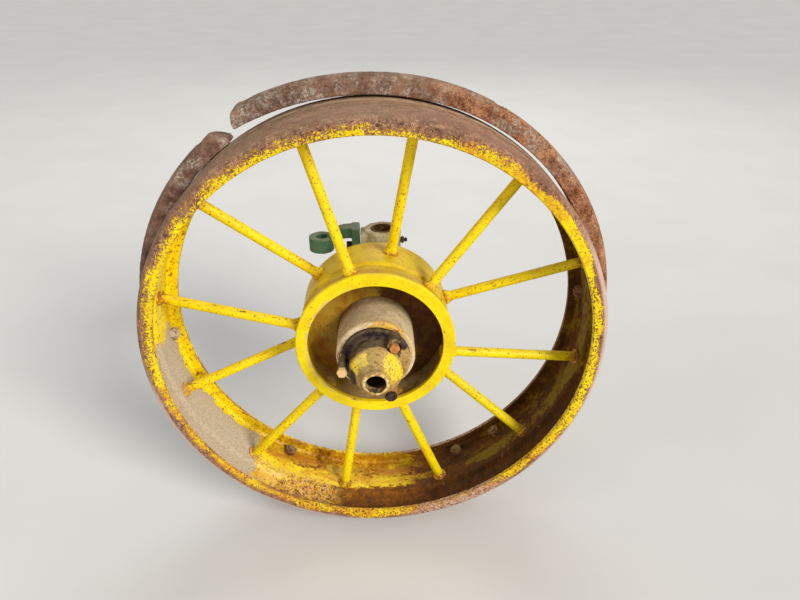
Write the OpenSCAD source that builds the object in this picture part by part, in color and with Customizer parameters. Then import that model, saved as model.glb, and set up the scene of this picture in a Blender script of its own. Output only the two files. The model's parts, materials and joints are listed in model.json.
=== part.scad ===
// Front steel wheel of a vintage tractor on its steering knuckle.
// Millimetres, +Z up. The wheel turns about Y and its outer face looks to -Y.
// The origin is the middle of the king pin bore, level with the wheel's axis.

/* [Rim] */
// Diameter over the rim's tread
rim_d = 712; // [660:2:760]
// Width of the rim over both lips
rim_w = 151; // [144:1:170]
// Thickness of the rolled rim plate
rim_t = 9; // [7:0.5:11]
// Depth of the turned-in lips, from the tread inward
lip_depth = 26; // [20:1:34]
// How far the rim's edges are rounded back
rim_round = 12; // [8:1:14]
// Width of the raised rib that carries the spokes
rib_w = 46; // [36:1:56]
// Height of that rib above the rim's inside
rib_h = 6; // [3:0.5:8]

/* [Guide band] */
// Width of the band that rides on the inner half of the tread
band_w = 43; // [34:1:50]
// Height of the band's crown over the tread
band_h = 28; // [24:1:34]
// Height of the band's straight sides
band_side = 19; // [12:1:21]
// Space between the band's inner side and the rim's inner edge
band_inset = 2; // [0:0.5:8]
// How far the sprung end stands off the tread
band_spring = 13; // [4:0.5:14]
// Angle that the sprung stretch takes up, from where it leaves the tread
spring_sweep = 40; // [30:1:60]
// How far the upper band stands off the tread at its middle
band_loose = 4; // [0:0.5:6]
// Where the two half bands meet, clockwise from the top
band_joint = 326.2; // [320:0.1:332]
// Angle that the upper band takes up, and the lower band takes the rest
upper_turn = 181; // [174:1:186]
// How far the outer corner of a band's end is rounded back
band_round = 25; // [10:1:28]
// How far the lower band's upper end is cut back at a slant
band_slant = 20; // [10:1:26]
// Gap between the ends of the half bands at the joint
band_gap = 14; // [4:1:24]

/* [Spokes] */
// Diameter of a spoke
spoke_d = 16; // [12:0.5:20]
// Angle of the first spoke's rim end, clockwise from the top
spoke_start = 10.6; // [8:0.1:14]
// Angle that a spoke's hub end lies further clockwise than its rim end
spoke_lean = 2.1; // [0:0.1:4]
// Angle that the last spoke's rim end lies further clockwise than in an even row
last_spoke_turn = 1.5; // [0:0.1:2]
// Diameter of the collars at both ends of a spoke
collar_d = 24; // [21:0.5:28]
// Height of the collar at the hub end
hub_collar_h = 12; // [6:0.5:16]
// Height of the washer ring at the rim end
foot_h = 4; // [2:0.5:6]
// Height of the rivet head inside the drum
head_h = 4; // [2:0.5:6]

/* [Hub drum] */
// Diameter of the drum that holds the spokes
drum_d = 239; // [230:1:246]
// Diameter over the front ring
ring_d = 247; // [244:1:256]
// Diameter of the drum's front opening
ring_bore = 210; // [200:1:214]
// Depth of the front ring's straight edge
ring_t = 7; // [4:0.5:10]
// Diameter at the waist behind the front ring
waist_d = 231; // [226:1:236]
// Thickness of the drum's wall behind the web
drum_wall = 10; // [7:0.5:12]
// Thickness of the web between drum and barrel
web_t = 12; // [8:1:16]
// Distance of the web's middle behind the rim's outer lip
web_in = 78; // [74:1:84]
// Length of the web's boss on the barrel
web_boss = 14; // [8:1:18]
// Distance of the ring's face behind the rim's outer lip
ring_in = 20; // [10:1:26]
// Distance of the drum's waist behind the rim's outer lip
waist_in = 70; // [64:1:76]
// Distance of the drum's rear end behind the rim's outer lip
drum_rear = 148; // [142:1:150]
// Distance of the front spoke row behind the rim's outer lip
front_row = 45; // [42:1:50]
// Distance of the rear spoke row behind the rim's outer lip
rear_row = 111; // [108:1:118]

/* [Hub barrel and cap] */
// Diameter of the bearing barrel
barrel_d = 120; // [112:1:124]
// How far the barrel stands out past the rim's outer lip
barrel_out = 8; // [2:1:14]
// Distance of the barrel's rear end behind the rim's outer lip
barrel_rear = 158; // [154:1:164]
// Thickness of the cap's gasket
gasket_t = 1.5; // [1:0.5:3]
// How far the cap's flange reaches past the bolts' circle
flange_edge = 3; // [1:0.5:5]
// Thickness of the cap's flange
flange_t = 9; // [6:0.5:12]
// Diameter of the cap's dome at its base
dome_d = 84; // [78:1:88]
// How far the cap stands out past the rim's outer lip
cap_out = 79; // [74:1:90]
// Diameter of the cap's snout
snout_d = 39; // [34:1:44]
// Diameter of the open hole in the snout
snout_bore = 29; // [24:1:31]
// Thickness of the cap's wall
cap_wall = 5; // [4:0.5:7]
// Diameter of the cap bolts' circle
bolt_circle = 98; // [96:1:100]
// Diameter of a cap bolt
bolt_d = 9.5; // [8:0.5:10]
// Diameter over the corners of a cap bolt's head
bolt_head_d = 15; // [13:0.5:16]
// Diameter of the two lugs whose bolts sit in pockets
lug_d = 21; // [20:0.5:24]
// Diameter of the slim lug that stands clear of the dome
slim_lug_d = 14; // [13:0.5:16]
// Angle of the first cap bolt, clockwise from the top
bolt_start = 34; // [20:1:50]

/* [Spindle] */
// Diameter of the spindle's inner bearing seat
seat_in_d = 52; // [46:1:58]
// Diameter of the spindle's outer bearing seat
seat_out_d = 40; // [34:1:44]
// Length of each bearing seat
seat_len = 42; // [34:1:46]
// Diameter of the threaded end
thread_d = 27; // [24:1:30]
// Width of the spindle nut across its flats
nut_af = 41; // [36:1:46]
// Thickness of the spindle nut
nut_t = 18; // [14:1:20]

/* [Knuckle] */
// How far the wheel's axis lies behind the king pin's axis
spindle_trail = 14; // [0:1:20]
// Distance from the king pin's axis to the rim's outer lip
wheel_out = 210; // [206:1:230]
// Diameter of the knuckle's post
post_d = 64; // [58:1:68]
// Height of the post above the wheel's axis
post_up = 119; // [112:1:130]
// Depth of the post below the wheel's axis
post_down = 78; // [70:1:100]
// Diameter of the king pin bore in its bushes
pin_bore = 32; // [28:1:36]
// Wall of a king pin bush
bush_wall = 3; // [2:0.5:4]
// Length of a king pin bush
bush_len = 45; // [30:1:55]

/* [Steering arm] */
// How far the arm's palm stands above the post's top
arm_rise = 5; // [3:1:10]
// Reach of the arm's eye behind the king pin
arm_reach = 106; // [98:1:116]
// How far the arm's eye lies towards the tractor
arm_in = 14; // [0:1:24]
// Radius of the arm's bent bar along its middle
arm_bend = 85; // [82:1:100]
// Width of the arm's bar
arm_w = 26; // [20:1:30]
// Thickness of the arm's bar
arm_t = 20; // [16:1:24]
// Diameter of the arm's eye
eye_d = 44; // [40:1:50]
// Thickness of the arm's eye
eye_t = 26; // [22:1:32]
// Diameter of the hole for the tie rod's stud
eye_bore = 20; // [16:1:22]

/* [Hidden] */
// Seating clearance between pieces that touch, and running clearance of the bearings
seat = 0.3;
run = 0.05;
// How far cutters reach past what they cut
over = 1;
eps = 0.01;
edge_chamfer = 1.5;
round_steps = 4;
spoke_count = 12;
fine = 180;
medium = 144;
small = 48;
hex = 6;

rim_r = rim_d / 2;
rim_in = rim_r - rim_t;
lip_r = rim_r - lip_depth;
rib_r = rim_in - rib_h;
rib_mid = rim_w / 2;
rib_slope = rib_h;
lip_fillet = 4;
crown = 2;
crown_at = 28;

band_out = rim_w - band_inset;
band_near = band_out - band_w;
band_mid = band_out - band_w / 2;
band_r = rim_r + seat;
band_edge = 4;
band_lap = 1;
// The sprung stretch is worn this much slimmer than the rest of its band
worn = 0.1;
gap_angle = asin(band_gap / 2 / band_r);
loose_at = band_joint + upper_turn / 2;
spring_shift = band_spring / (1 - cos(spring_sweep));
spring_turn = spring_sweep - asin(spring_shift * sin(spring_sweep) / (band_r + spring_shift));
// Start and sweep of the upper and the lower half band
bands = [[band_joint, upper_turn], [band_joint + upper_turn, 360 - upper_turn]];
start = 0;
turn = 1;
upper = 0;
lower = 1;
band_bolt_end = 7;
band_bolt_steps = 3;
band_bolt_d = 12;
band_nut_d = 22;
band_nut_t = 9;
band_head_d = 20;
band_head_t = 3;
band_sink = 5;
bolt_end = 3;

drum_r = drum_d / 2;
ring_r = ring_d / 2;
waist_r = waist_d / 2;
bore_r = ring_bore / 2;
least_wall = 3;
inner_r = min(drum_r - drum_wall, min(waist_r, ring_r) - least_wall);
barrel_r = barrel_d / 2;
drum_step = drum_r - waist_r;
web_front = web_in - web_t / 2;
web_rear = web_in + web_t / 2;
web_boss_w = 8;
web_boss_r = barrel_r + web_boss_w;
head_rim = 3;
head_r = spoke_d / 2 + head_rim;
collar_sink = 8;
collar_ring = 4;
collar_neck = collar_d - 2;
spoke_tail = drum_r - inner_r + head_h;
spoke_tip = rim_t + rib_h + 4;

flange_r = bolt_circle / 2 + flange_edge;
flange_at = -barrel_out - gasket_t;
flange_front = flange_at - flange_t;
dome_r = dome_d / 2;
dome_taper = 2;
dome_round = 16;
dome_turn = 45;
dome_straight = 44;
snout_r = snout_d / 2;
hole_r = snout_bore / 2;
cavity_r = dome_r - dome_taper - cap_wall;
lug_top = 48;
lugs = [lug_d, lug_d, slim_lug_d];
lug_gap = 3;
pocket_d = lug_d - 3;
pocket_depth = 4;
bolt_head_t = 7;
bolt_len_in = 14;
bolt_room = 3;

spindle_root = barrel_rear + 2;
seat_in_end = barrel_rear - seat_len;
front_recess = 6;
seat_out_start = -barrel_out + front_recess + seat_len;
thread_end = 40;
thread_r = thread_d / 2;
washer_t = 3.5;
washer_edge = 2;
washer_at = -barrel_out + front_recess - washer_t;
cotter_d = 4;
cotter_in = 8;
castle_w = 6;
castle_depth = 7;
chamber_room = 4;
chamber_r = seat_in_d / 2 + chamber_room;
shoulder_rise = 14;
shoulder_r = seat_in_d / 2 + shoulder_rise;
shoulder_len = 8;
tail_d = 44;
tail_len = 18;
boss_r = post_d / 2 + 2;
boss_cone = 6;
shield_t = 2.5;
shield_gap = 4;
shield_lap = 6;
barrel_chamfer = 3;
nut_front = washer_at - washer_t - 2 * seat - nut_t;

post_r = post_d / 2;
bush_r = pin_bore / 2 + bush_wall;
bore_relief = 1;
pad_x = post_r + 6;
pad_w = 36;
pad_drop = 4;
palm_h = 80;
palm_z = post_up + arm_rise - palm_h;
palm_t = 14;
palm_x = pad_x + seat + palm_t;
palm_mid = pad_x + seat + palm_t / 2;
bend_z = palm_z + palm_h - arm_t / 2 - arm_bend;
eye_out = norm([arm_reach - palm_mid, arm_in]);
eye_z = bend_z + sqrt(arm_bend * arm_bend - eye_out * eye_out);
arm_bolt_d = 13;
arm_bolt_in = 14;
arm_bolt_head = 22;
arm_bolt_head_t = 9;
arm_bolt_space = 26;
arm_bolt_up = 27;
arm_bolt_z = palm_z + arm_bolt_up;
fitting_d = 8;
fitting_in = 8;

function arc(r, z, radius, from, to, steps) = [for (i = [0 : steps])
    let (a = from + (to - from) * i / steps) [r + radius * cos(a), z + radius * sin(a)]];
function flip(points, width) = [for (i = [len(points) - 1 : -1 : 0]) [points[i][0], width - points[i][1]]];
function hub_angle(i) = spoke_start + spoke_lean + i * 360 / spoke_count;
function lean(i) = spoke_lean - (i == spoke_count - 1 ? last_spoke_turn : 0);
function spoke_row(i) = i % 2 == 0 ? rear_row : front_row;
// From a spoke's hub end to its rim end, with local X radial at the hub end
function spoke_run(i) = [rib_r * cos(lean(i)) - drum_r, -rib_r * sin(lean(i)), rib_mid - spoke_row(i)];
function band_hole_angle(half, i) = bands[half][start] + band_bolt_end
    + i * (bands[half][turn] - 2 * band_bolt_end) / band_bolt_steps;
// Radius of the seat of a bolt's head, lifted with its band
function head_floor(half, i) = band_r + band_h - band_sink
    + (half == upper ? band_loose * cos(band_hole_angle(half, i) - loose_at) : 0)
    + (half == upper && i == 0 ? spring_shift * (1 - cos(gap_angle + spring_sweep - band_bolt_end)) : 0);

$fn = 96;

// Local Z runs from the rim's outer lip towards the tractor
module wheel() translate([-spindle_trail, -wheel_out, 0]) rotate([-90, 0, 0]) children();

// Turns local X to an angle, clockwise from the top as seen from outside
module clock(angle) rotate([0, 0, angle - 90]) children();

// A radial cylinder from one radius to another, in the wheel's local frame
module radial(diameter, from, to, z, sides = small)
    translate([from, 0, z]) rotate([0, 90, 0]) cylinder(d = diameter, h = to - from, $fn = sides);

// Rim
function rim_half() = concat(
    [[rib_r, rib_mid], [rib_r, rib_mid - rib_w / 2 + rib_slope], [rim_in, rib_mid - rib_w / 2]],
    [[rim_in, rim_t + lip_fillet], [rim_in - lip_fillet, rim_t], [lip_r, rim_t]],
    [[lip_r, edge_chamfer], [lip_r + edge_chamfer, 0]],
    arc(rim_r - crown - rim_round, rim_round, rim_round, -90, 0, round_steps),
    [[rim_r, crown_at], [rim_r, rib_mid]]
);
module rim() color("gold") wheel() difference() {
    rotate_extrude($fn = fine) polygon(concat(rim_half(), flip(rim_half(), rim_w)));
    for (i = [0 : spoke_count - 1]) spoke_hole(i);
    for (half = [upper, lower], i = [0 : band_bolt_steps]) clock(band_hole_angle(half, i))
        radial(band_bolt_d + 2 * seat, rib_r, rim_r + over, band_mid);
}

// Spokes, from the drum's wall to the rim's rib
module spoke_axis(i) {
    path = spoke_run(i);
    clock(hub_angle(i)) translate([drum_r, 0, spoke_row(i)])
        rotate([0, acos(path[2] / norm(path)), atan2(path[1], path[0])]) children();
}
module spoke_bar(i, diameter) spoke_axis(i) translate([0, 0, -spoke_tail])
    cylinder(d = diameter, h = spoke_tail + norm(spoke_run(i)) + spoke_tip, $fn = small);
module spoke_hole(i) spoke_bar(i, spoke_d + 2 * seat);
module rivet_head(r, h) rotate_extrude($fn = small) polygon(concat([[0, 0]],
    [for (point = arc(0, 0, 1, 0, 90, round_steps)) [r * point[0], -h * point[1]]]));
module spoke(i) color("yellow") wheel() {
    intersection() {
        spoke_bar(i, spoke_d);
        cylinder(r = rim_r - seat, h = rim_w, $fn = fine);
    }
    difference() {
        spoke_axis(i) {
            translate([0, 0, -collar_sink])
                cylinder(d = collar_d, h = collar_sink + collar_ring, $fn = small);
            translate([0, 0, collar_ring])
                cylinder(d1 = collar_neck, d2 = spoke_d, h = hub_collar_h - collar_ring, $fn = small);
        }
        rotate_extrude($fn = fine) polygon(drum_outline(seat));
    }
    intersection() {
        spoke_axis(i) translate([0, 0, norm(spoke_run(i)) - foot_h])
            cylinder(d = collar_d, h = foot_h + spoke_tip, $fn = small);
        cylinder(r = rib_r - seat, h = rim_w, $fn = fine);
    }
    intersection() {
        spoke_axis(i) translate([0, 0, inner_r - drum_r]) rivet_head(head_r, head_h);
        cylinder(r = inner_r - seat, h = rim_w, $fn = fine);
    }
}

// Guide band in two half hoops, the upper one sprung off the tread at its first end
function band_profile(r, slim) = [
    [r + slim, band_near + slim], [r + band_side, band_near + slim],
    [r + band_h - band_edge, band_near + band_edge + slim], [r + band_h - slim, band_near + band_w / 3],
    [r + band_h - slim, band_out - band_w / 3], [r + band_h - band_edge, band_out - band_edge - slim],
    [r + band_side, band_out - slim], [r + slim, band_out - slim]
];
module band_arc(r, from, sweep, slim = 0) rotate([0, 0, from - 90])
    rotate_extrude(angle = sweep, $fn = fine) polygon(band_profile(r, slim));
module band_holes(half) for (i = [0 : band_bolt_steps]) clock(band_hole_angle(half, i)) {
    radial(band_bolt_d + 2 * seat, rim_r - over, band_r + 2 * band_h, band_mid);
    radial(band_head_d + 2 * seat, head_floor(half, i), band_r + 2 * band_h, band_mid);
}
// What is rounded off a band's end, with local X radial and local Y into the band
module band_corner(r) translate([r + band_h - band_round, 0, band_near - over]) difference() {
    translate([0, -over, 0]) cube([band_h, band_round + over, band_w + 2 * over]);
    translate([0, band_round, -over]) cylinder(r = band_round, h = band_w + 4 * over);
}
module band_slant_cut() translate([band_r + band_h, 0, band_near - over])
    linear_extrude(band_w + 2 * over)
    polygon([[-band_slant - over, -over], [over, band_slant + over], [over, -over]]);
module last_end(half) clock(bands[half][start] + bands[half][turn] - gap_angle) mirror([0, 1, 0]) children();
module sprung() clock(band_joint + gap_angle + spring_sweep) translate([-spring_shift, 0, 0]) children();
module loose() translate([band_loose * sin(loose_at), -band_loose * cos(loose_at), 0]) children();
module guide_band_upper() color("sienna") wheel() difference() {
    loose() difference() {
        union() {
            band_arc(band_r, band_joint + gap_angle + spring_sweep,
                upper_turn - 2 * gap_angle - spring_sweep);
            sprung() rotate([0, 0, 90])
                band_arc(band_r + spring_shift, -spring_turn, spring_turn + band_lap, worn);
        }
        last_end(upper) band_corner(band_r);
        sprung() rotate([0, 0, -spring_turn]) band_corner(band_r + spring_shift);
    }
    band_holes(upper);
}
module guide_band_lower() color("sienna") wheel() difference() {
    band_arc(band_r, bands[lower][start] + gap_angle, bands[lower][turn] - 2 * gap_angle);
    band_holes(lower);
    last_end(lower) band_slant_cut();
    clock(bands[lower][start] + gap_angle) band_corner(band_r);
}
module band_bolt(half, i) clock(band_hole_angle(half, i)) {
    head_from = head_floor(half, i) + seat;
    nut_from = rim_in - seat - band_nut_t;
    radial(band_bolt_d, nut_from - bolt_end, head_from + band_head_t, band_mid);
    radial(band_nut_d, nut_from, rim_in - seat, band_mid, hex);
    radial(band_head_d, head_from, head_from + band_head_t, band_mid);
}
module band_bolts_upper() color("peru") wheel() for (i = [2 : band_bolt_steps]) band_bolt(upper, i);
module band_bolts_lower() color("peru") wheel() for (i = [0 : band_bolt_steps]) band_bolt(lower, i);

// Hub drum and the web that carries it
function drum_outline(grow) = [
    [0, ring_in], [ring_r - edge_chamfer + grow, ring_in], [ring_r + grow, ring_in + edge_chamfer],
    [ring_r + grow, ring_in + ring_t], [waist_r + grow, waist_in], [drum_r + grow, waist_in + drum_step],
    [drum_r + grow, drum_rear - edge_chamfer], [drum_r - edge_chamfer + grow, drum_rear], [0, drum_rear]
];
module hub_drum() color("gold") wheel() difference() {
    rotate_extrude($fn = fine) polygon(drum_outline(0));
    translate([0, 0, ring_in - over]) cylinder(r = bore_r, h = ring_t + 2 * over, $fn = fine);
    translate([0, 0, ring_in + ring_t]) cylinder(r = inner_r, h = drum_rear, $fn = fine);
    for (i = [0 : spoke_count - 1]) spoke_hole(i);
}
module hub_web() color("goldenrod") wheel() rotate_extrude($fn = fine) polygon([
    [barrel_r + seat, web_front], [inner_r - seat, web_front], [inner_r - seat, web_rear],
    [web_boss_r, web_rear], [web_boss_r, web_rear + web_boss - edge_chamfer],
    [web_boss_r - edge_chamfer, web_rear + web_boss], [barrel_r + seat, web_rear + web_boss]
]);

// Hub barrel, bored for the spindle's two seats
module bolt_place(i) clock(bolt_start + i * 120) translate([bolt_circle / 2, 0, 0]) children();
module bolt_ring() for (i = [0 : 2]) bolt_place(i) children();
module hub_barrel() color("tan") wheel() difference() {
    rotate_extrude($fn = medium) polygon([
        [0, -barrel_out], [barrel_r - barrel_chamfer, -barrel_out], [barrel_r, -barrel_out + barrel_chamfer],
        [barrel_r, barrel_rear - edge_chamfer], [barrel_r - edge_chamfer, barrel_rear], [0, barrel_rear]
    ]);
    translate([0, 0, seat_in_end]) cylinder(d = seat_in_d + 2 * run, h = barrel_rear);
    translate([0, 0, seat_out_start]) cylinder(r = chamber_r, h = seat_in_end - seat_out_start + eps);
    translate([0, 0, -barrel_out - over]) cylinder(d = seat_out_d + 2 * run, h = barrel_rear);
    translate([0, 0, -barrel_out - over]) cylinder(r = cavity_r, h = front_recess + over);
    bolt_ring() translate([0, 0, -barrel_out - over])
        cylinder(d = bolt_d + 2 * seat, h = bolt_len_in + bolt_room, $fn = small);
}

// Cap with its gasket and bolts
module cap_gasket() color("dimgray") wheel() translate([0, 0, flange_at + seat]) difference() {
    cylinder(r = flange_r, h = gasket_t - 2 * seat);
    translate([0, 0, -over]) cylinder(r = cavity_r, h = gasket_t + 2 * over);
    bolt_ring() translate([0, 0, -over])
        cylinder(d = bolt_d + 2 * seat, h = gasket_t + 2 * over, $fn = small);
}
module cap_lug(i) bolt_place(i) translate([0, 0, -lug_top])
    cylinder(d = lugs[i], h = lug_top + flange_front + over, $fn = small);
module hub_cap() color("darkkhaki") wheel() difference() {
    union() {
        difference() {
            rotate_extrude($fn = medium) polygon(concat(
                [[0, flange_at], [flange_r, flange_at], [flange_r, flange_front + edge_chamfer]],
                [[flange_r - edge_chamfer, flange_front], [dome_r, flange_front]],
                arc(dome_r - dome_taper - dome_round, -dome_straight,
                    dome_round, 0, -dome_turn, round_steps),
                [[snout_r, -cap_out + edge_chamfer], [snout_r - edge_chamfer, -cap_out], [0, -cap_out]]
            ));
            bolt_place(2) translate([0, 0, -cap_out])
                cylinder(d = slim_lug_d + 2 * lug_gap, h = cap_out + flange_front - over, $fn = small);
        }
        for (i = [0 : 2]) cap_lug(i);
    }
    rotate_extrude($fn = medium) polygon([
        [0, flange_at + over], [cavity_r, flange_at + over], [cavity_r, -dome_straight],
        [hole_r, -dome_straight - cavity_r + hole_r], [hole_r, -cap_out - over], [0, -cap_out - over]
    ]);
    bolt_ring() translate([0, 0, -cap_out]) cylinder(d = bolt_d + 2 * seat, h = cap_out, $fn = small);
    for (i = [0, 1]) bolt_place(i) translate([0, 0, -cap_out])
        cylinder(d = pocket_d, h = cap_out - lug_top + pocket_depth, $fn = small);
}
module cap_bolt(i, under) color("chocolate") wheel() bolt_place(i) {
    translate([0, 0, under - bolt_head_t]) cylinder(d = bolt_head_d, h = bolt_head_t, $fn = hex);
    translate([0, 0, under - eps]) cylinder(d = bolt_d, h = bolt_len_in - barrel_out - under, $fn = small);
}
module cap_bolt_upper() cap_bolt(0, -lug_top + pocket_depth - seat);
module cap_bolt_lower() cap_bolt(1, -lug_top + pocket_depth - seat);
module cap_bolt_side() cap_bolt(2, -lug_top - seat);

// Knuckle: post, spindle boss and arm pad in one forging
module blind_hole(diameter, depth)
    cylinder(d = diameter + 2 * seat, h = 2 * (depth + seat), center = true, $fn = small);
module knuckle() color("darkolivegreen") difference() {
    union() {
        rotate_extrude($fn = medium) polygon([
            [0, -post_down], [post_r - edge_chamfer, -post_down], [post_r, -post_down + edge_chamfer],
            [post_r, post_up - edge_chamfer], [post_r - edge_chamfer, post_up], [0, post_up]
        ]);
        wheel() rotate_extrude($fn = medium) polygon([
            [0, spindle_root + shoulder_len + seat], [shoulder_r, spindle_root + shoulder_len + seat],
            [boss_r, spindle_root + shoulder_len + boss_cone], [boss_r, wheel_out], [0, wheel_out]
        ]);
        translate([-pad_x, -pad_w / 2, palm_z]) cube([pad_x, pad_w, post_up - pad_drop - palm_z]);
    }
    translate([0, 0, -post_down - over])
        cylinder(r = pin_bore / 2 + bore_relief, h = post_down + post_up + 2 * over);
    translate([0, 0, -post_down - over]) cylinder(r = bush_r + seat, h = bush_len + seat + over);
    translate([0, 0, post_up - bush_len - seat]) cylinder(r = bush_r + seat, h = bush_len + seat + over);
    wheel() translate([0, 0, spindle_root])
        cylinder(d = tail_d + 2 * seat, h = shoulder_len + tail_len + seat);
    arm_bolt_places() blind_hole(arm_bolt_d, arm_bolt_in);
    fitting_places() blind_hole(fitting_d, fitting_in);
}

// Spindle with its bearing seats, shouldered against the knuckle's boss
module spindle() color("slategray") wheel() difference() {
    rotate_extrude($fn = medium) polygon([
        [0, -thread_end], [thread_r - edge_chamfer, -thread_end], [thread_r, -thread_end + edge_chamfer],
        [thread_r, washer_at], [seat_out_d / 2, washer_at], [seat_out_d / 2, seat_out_start],
        [seat_in_d / 2, seat_in_end], [seat_in_d / 2, spindle_root], [shoulder_r, spindle_root],
        [shoulder_r, spindle_root + shoulder_len], [tail_d / 2, spindle_root + shoulder_len],
        [tail_d / 2, spindle_root + shoulder_len + tail_len], [0, spindle_root + shoulder_len + tail_len]
    ]);
    translate([0, 0, -thread_end + cotter_in]) rotate([90, 0, 0])
        cylinder(d = cotter_d + 2 * seat, h = 2 * thread_d, center = true, $fn = small);
}
module bush(z) color("peru") translate([0, 0, z]) difference() {
    cylinder(r = bush_r, h = bush_len);
    translate([0, 0, -over]) cylinder(d = pin_bore, h = bush_len + 2 * over);
}
module king_pin_bush_top() bush(post_up - bush_len);
module king_pin_bush_bottom() bush(-post_down);

// Pressed shield on the spindle's shoulder, over the barrel's rear end
module dust_collar() color("dimgray") wheel() rotate_extrude($fn = medium) polygon([
    [shoulder_r + seat, spindle_root + seat], [shoulder_r + seat, spindle_root + seat + shield_t],
    [barrel_r + shield_gap + shield_t, spindle_root + seat + shield_t],
    [barrel_r + shield_gap + shield_t, barrel_rear - shield_lap],
    [barrel_r + shield_gap, barrel_rear - shield_lap], [barrel_r + shield_gap, spindle_root + seat]
]);
module spindle_washer() color("gray") wheel() translate([0, 0, washer_at - seat - washer_t]) difference() {
    cylinder(d = nut_af + 2 * washer_edge, h = washer_t);
    translate([0, 0, -over]) cylinder(d = thread_d + 2 * seat, h = washer_t + 2 * over);
}
module spindle_nut() color("gray") wheel() translate([0, 0, nut_front]) difference() {
    cylinder(d = nut_af / cos(30), h = nut_t, $fn = hex);
    translate([0, 0, -over]) cylinder(d = thread_d + 2 * seat, h = nut_t + 2 * over);
    for (i = [0 : 2]) rotate([0, 0, 60 * i + 30])
        cube([2 * nut_af, castle_w, 2 * castle_depth], center = true);
}
module cotter_pin() color("silver") wheel() translate([0, 0, -thread_end + cotter_in]) {
    rotate([90, 0, 0]) cylinder(d = cotter_d, h = nut_af + cotter_d, center = true, $fn = small);
    translate([0, nut_af / 2 + cotter_d + cotter_d / 2, 0]) rotate([0, 90, 0])
        rotate_extrude($fn = small) translate([cotter_d, 0]) circle(d = cotter_d, $fn = small);
}

// Steering arm, a bent bar from its palm to the eye, faced flat round the eye, with its two bolts
module arm_bolt_places() for (side = [-1, 1])
    translate([-pad_x, 0, arm_bolt_z + side * arm_bolt_space / 2]) rotate([0, -90, 0]) children();
module steering_arm() color("seagreen") difference() {
    union() {
        translate([-palm_x, -pad_w / 2, palm_z]) cube([palm_t, pad_w, palm_h]);
        translate([-palm_mid, 0, bend_z]) rotate([0, 0, 180 - atan2(arm_in, arm_reach - palm_mid)])
            rotate([90, 0, 0]) translate([0, 0, -arm_w / 2]) rotate([0, 0, 90 - asin(eye_out / arm_bend)])
            rotate_extrude(angle = asin(eye_out / arm_bend), $fn = medium) polygon([
                [arm_bend - arm_t / 2, edge_chamfer], [arm_bend - arm_t / 2 + edge_chamfer, 0],
                [arm_bend + arm_t / 2 - edge_chamfer, 0], [arm_bend + arm_t / 2, edge_chamfer],
                [arm_bend + arm_t / 2, arm_w - edge_chamfer], [arm_bend + arm_t / 2 - edge_chamfer, arm_w],
                [arm_bend - arm_t / 2 + edge_chamfer, arm_w], [arm_bend - arm_t / 2, arm_w - edge_chamfer]
            ]);
        translate([-arm_reach, arm_in, eye_z - eye_t / 2]) cylinder(d = eye_d, h = eye_t + over);
    }
    translate([-arm_reach, arm_in, eye_z - eye_t]) cylinder(d = eye_bore, h = 2 * eye_t);
    translate([-arm_reach, arm_in, eye_z + eye_t / 2]) cylinder(d = eye_d + 2 * over, h = eye_t);
    arm_bolt_places() cylinder(d = arm_bolt_d + 2 * seat, h = 2 * palm_t, $fn = small);
}
module arm_bolts() color("dimgray") arm_bolt_places() {
    translate([0, 0, -arm_bolt_in])
        cylinder(d = arm_bolt_d, h = arm_bolt_in + 2 * seat + palm_t + eps, $fn = small);
    translate([0, 0, 2 * seat + palm_t]) cylinder(d = arm_bolt_head, h = arm_bolt_head_t, $fn = hex);
}

// Grease fittings, one level with each bush
module fitting_places() for (z = [post_up - bush_len / 2, bush_len / 2 - post_down])
    translate([post_r, 0, z]) rotate([0, 90, 0]) children();
module grease_fittings() color("silver") fitting_places() rotate_extrude($fn = small) polygon([
    [0, -fitting_in], [fitting_d / 2, -fitting_in], [fitting_d / 2, seat], [fitting_d * 3 / 4, seat],
    [fitting_d * 3 / 4, fitting_d / 2], [fitting_d / 3, fitting_d * 3 / 4], [fitting_d / 2, fitting_d],
    [fitting_d / 3, fitting_d * 4 / 3], [0, fitting_d * 4 / 3]
]);

rim();
guide_band_upper();
guide_band_lower();
band_bolts_upper();
band_bolts_lower();
spoke(0);  // spoke_01
spoke(1);  // spoke_02
spoke(2);  // spoke_03
spoke(3);  // spoke_04
spoke(4);  // spoke_05
spoke(5);  // spoke_06
spoke(6);  // spoke_07
spoke(7);  // spoke_08
spoke(8);  // spoke_09
spoke(9);  // spoke_10
spoke(10);  // spoke_11
spoke(11);  // spoke_12
hub_drum();
hub_web();
hub_barrel();
cap_gasket();
hub_cap();
cap_bolt_upper();
cap_bolt_lower();
cap_bolt_side();
knuckle();
spindle();
king_pin_bush_top();
king_pin_bush_bottom();
dust_collar();
spindle_washer();
spindle_nut();
cotter_pin();
steering_arm();
arm_bolts();
grease_fittings();
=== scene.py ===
"""Looks of a vintage tractor's front steel wheel on its steering knuckle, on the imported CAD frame."""
import json
import math

import bmesh
import bpy
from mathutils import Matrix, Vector, noise


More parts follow.
